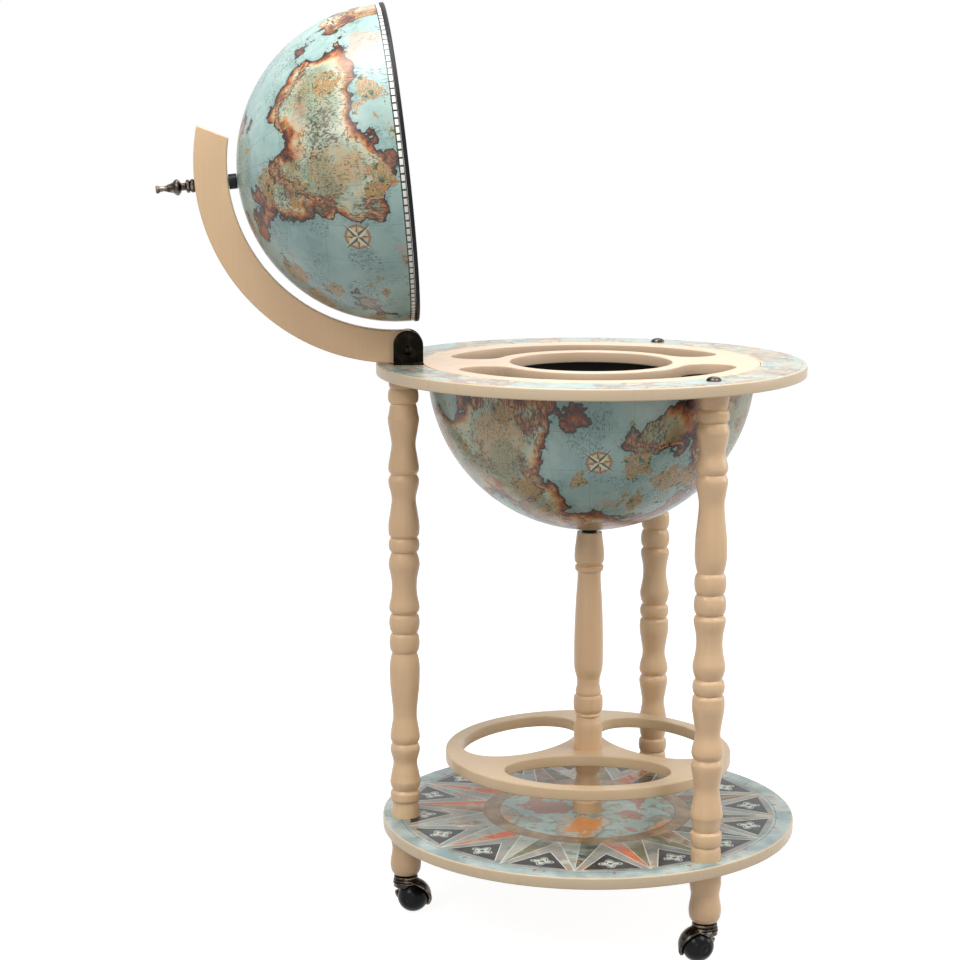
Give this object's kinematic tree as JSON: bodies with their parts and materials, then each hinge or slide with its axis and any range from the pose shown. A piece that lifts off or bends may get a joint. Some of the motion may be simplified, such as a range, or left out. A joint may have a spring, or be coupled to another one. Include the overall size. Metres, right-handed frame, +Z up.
{
  "type": "floor globe bar",
  "caption": "Globe-shaped drinks cabinet on turned legs and ball casters, with a hinged upper half on a curved arm, a bottle tray, a bottle ring and a lower shelf.",
  "frame": {"origin": "on the floor, under the middle of the outline in X and Y with the lid open", "axes": "+Z up, +X from the hinge side to the two-leg side, +Y across, along the hinge pin"},
  "size_m": [0.6726, 0.45, 0.9642],
  "materials": {
    "cream_wood": "satin cream paint",
    "printed_board": "satin lacquer over a print",
    "globe_shell": "satin lacquer over a print",
    "dark_bronze": "aged bronze",
    "black_plastic": "satin black",
    "zinc_steel": "zinc plated"
  },
  "bodies": {
    "stand": {"table_ring": "printed_board", "tray_insert": "cream_wood", "bowl": "globe_shell", "bowl_screw_1": "zinc_steel", "bowl_screw_2": "zinc_steel", "bowl_screw_3": "zinc_steel", "bowl_screw_4": "zinc_steel", "bowl_screw_5": "zinc_steel", "bowl_screw_6": "zinc_steel", "bowl_bolt": "dark_bronze", "bowl_washer": "zinc_steel", "column_bush": "black_plastic", "column_upper": "cream_wood", "column_stud": "zinc_steel", "bottle_ring": "cream_wood", "column_lower": "cream_wood", "column_screw": "zinc_steel", "shelf": "printed_board", "leg_1": "cream_wood", "leg_2": "cream_wood", "leg_3": "cream_wood", "foot_1": "cream_wood", "foot_2": "cream_wood", "foot_3": "cream_wood", "leg_stud_1": "zinc_steel", "leg_stud_2": "zinc_steel", "leg_stud_3": "zinc_steel", "table_bolt_1": "dark_bronze", "table_bolt_2": "dark_bronze", "table_bolt_3": "dark_bronze", "caster_stem_1": "black_plastic", "caster_stem_2": "black_plastic", "caster_stem_3": "black_plastic", "hinge_bracket_front": "dark_bronze", "hinge_bracket_back": "dark_bronze", "bracket_screw_1": "dark_bronze", "bracket_screw_2": "dark_bronze", "bracket_screw_3": "dark_bronze", "bracket_screw_4": "dark_bronze", "hinge_pin": "dark_bronze", "hinge_nut": "dark_bronze"},
    "arm_assembly": {"arm": "cream_wood", "pole_pin": "zinc_steel", "pole_bush": "black_plastic", "pole_washer": "zinc_steel", "pole_nut": "zinc_steel", "finial": "dark_bronze"},
    "upper_globe": {"lid": "globe_shell", "lid_rim_trim": "black_plastic"},
    "swivel_1": {"caster_hood_1": "dark_bronze", "caster_axle_1": "zinc_steel"},
    "swivel_2": {"caster_hood_2": "dark_bronze", "caster_axle_2": "zinc_steel"},
    "swivel_3": {"caster_hood_3": "dark_bronze", "caster_axle_3": "zinc_steel"},
    "wheel_1": {"caster_wheel_1": "black_plastic"},
    "wheel_2": {"caster_wheel_2": "black_plastic"},
    "wheel_3": {"caster_wheel_3": "black_plastic"}
  },
  "joints": [
    {"name": "lid_hinge", "type": "hinge", "parent": "stand", "child": "arm_assembly", "pos_m": [-0.08002, 0, 0.61], "axis": [0, 1, 0], "range_deg": [0, 96]},
    {"name": "lid_spin", "type": "hinge", "parent": "arm_assembly", "child": "upper_globe", "pos_m": [-0.09254, 0, 0.80174], "axis": [-0.9945, 0, -0.1045], "continuous": true},
    {"name": "caster_swivel_1", "type": "hinge", "parent": "stand", "child": "swivel_1", "pos_m": [-0.08503, 0, 0.036], "axis": [0, 0, 1], "continuous": true},
    {"name": "caster_swivel_2", "type": "hinge", "parent": "stand", "child": "swivel_2", "pos_m": [0.21047, -0.17061, 0.036], "axis": [0, 0, 1], "continuous": true},
    {"name": "caster_swivel_3", "type": "hinge", "parent": "stand", "child": "swivel_3", "pos_m": [0.21047, 0.17061, 0.036], "axis": [0, 0, 1], "continuous": true},
    {"name": "wheel_spin_1", "type": "hinge", "parent": "swivel_1", "child": "wheel_1", "pos_m": [-0.07761, -0.003, 0.01667], "axis": [-0.3746, -0.9272, 0], "continuous": true},
    {"name": "wheel_spin_2", "type": "hinge", "parent": "swivel_2", "child": "wheel_2", "pos_m": [0.20306, -0.1736, 0.01667], "axis": [0.3746, -0.9272, 0], "continuous": true},
    {"name": "wheel_spin_3", "type": "hinge", "parent": "swivel_3", "child": "wheel_3", "pos_m": [0.2026, 0.172, 0.01667], "axis": [0.1736, 0.9848, 0], "continuous": true}
  ]
}
